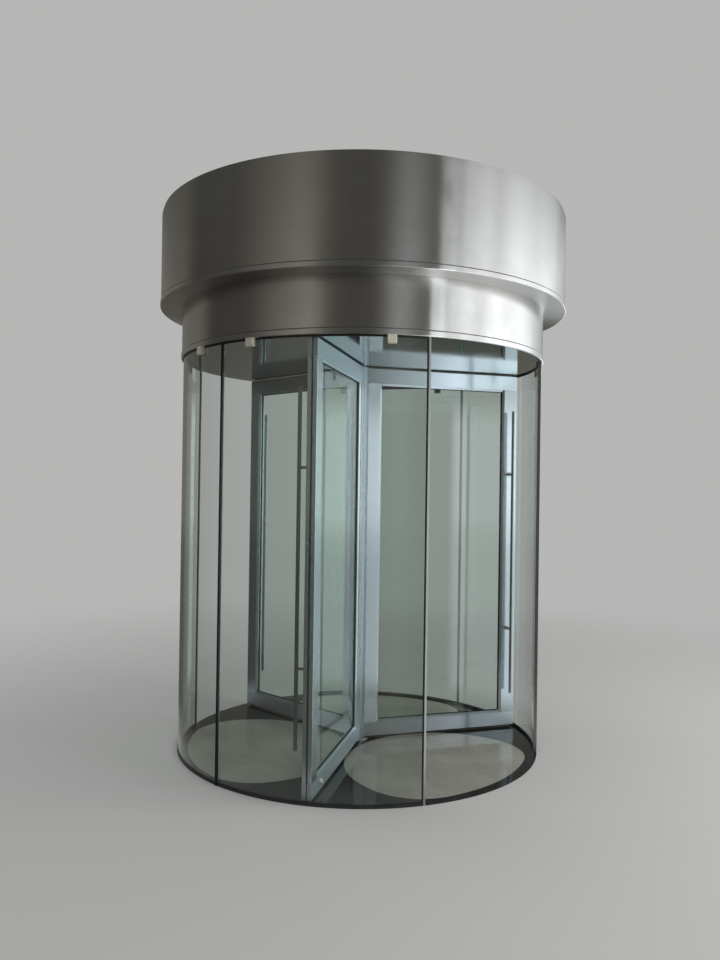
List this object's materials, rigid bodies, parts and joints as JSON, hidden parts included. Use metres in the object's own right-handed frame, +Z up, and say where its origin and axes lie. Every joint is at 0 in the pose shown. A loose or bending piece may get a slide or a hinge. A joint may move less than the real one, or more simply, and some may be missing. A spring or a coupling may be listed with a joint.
{
  "type": "revolving door",
  "caption": "Glass revolving door with wings on a centre post, curved drum walls, stone floor disc and a stepped round brushed steel canopy.",
  "frame": {"origin": "on the axis of rotation, at the underside of the floor disc", "axes": "+Z up along the axis of rotation, -Y towards the street, +Y into the building, +X to the right seen from the street"},
  "size_m": [2.376, 2.3756, 3.077],
  "materials": {
    "dark_stone": "polished dark granite",
    "pale_stone": "polished pale stone",
    "drum_glass": "clear curved laminated glass with a green edge",
    "wing_glass": "clear flat laminated glass",
    "satin_steel": "satin stainless steel",
    "dark_channel": "dark anodised channel",
    "mirror_steel": "bright reflective ceiling sheet",
    "brushed_band": "brushed stainless sheet",
    "bright_bead": "rolled stainless edge",
    "roof_sheet": "galvanised dust cover",
    "frame_steel": "primed steel",
    "clamp_cover": "cream moulded cover",
    "wing_aluminium": "satin anodised aluminium",
    "handle_steel": "satin stainless bar",
    "black_seal": "black brush and rubber"
  },
  "bodies": {
    "drum": {"floor_disc": "dark_stone", "floor_inlay_front": "pale_stone", "floor_inlay_left": "pale_stone", "floor_inlay_right": "pale_stone", "floor_bearing": "satin_steel", "left_glass_front": "drum_glass", "left_glass_rear": "drum_glass", "right_glass_front": "drum_glass", "right_glass_rear": "drum_glass", "left_edge_profiles": "satin_steel", "right_edge_profiles": "satin_steel", "left_floor_channel": "dark_channel", "right_floor_channel": "dark_channel", "left_head_channel": "dark_channel", "right_head_channel": "dark_channel", "left_facade_post": "dark_channel", "right_facade_post": "dark_channel", "ceiling_panel": "mirror_steel", "canopy_lower_band": "brushed_band", "canopy_lower_bead": "bright_bead", "canopy_step": "brushed_band", "canopy_upper_band": "brushed_band", "canopy_upper_bead": "bright_bead", "canopy_top_trim": "brushed_band", "canopy_roof": "roof_sheet", "ring_beam": "frame_steel", "canopy_uprights": "frame_steel", "bridge_beam": "frame_steel", "top_bearing_housing": "frame_steel", "glass_clamps": "drum_glass"},
    "rotor": {"centre_post": "wing_aluminium", "wing_a_stiles": "wing_aluminium", "wing_a_rails": "wing_aluminium", "wing_a_glass": "wing_glass", "wing_a_handle": "handle_steel", "wing_a_seals": "black_seal", "wing_b_stiles": "wing_aluminium", "wing_b_rails": "wing_aluminium", "wing_b_glass": "wing_glass", "wing_b_handle": "handle_steel", "wing_b_seals": "black_seal", "wing_c_stiles": "wing_aluminium", "wing_c_rails": "wing_aluminium", "wing_c_glass": "wing_glass", "wing_c_handle": "handle_steel", "wing_c_seals": "black_seal"}
  },
  "joints": [
    {"name": "rotor_turn", "type": "hinge", "parent": "drum", "child": "rotor", "pos_m": [0, 0, 0.02], "axis": [0, 0, 1], "continuous": true}
  ]
}
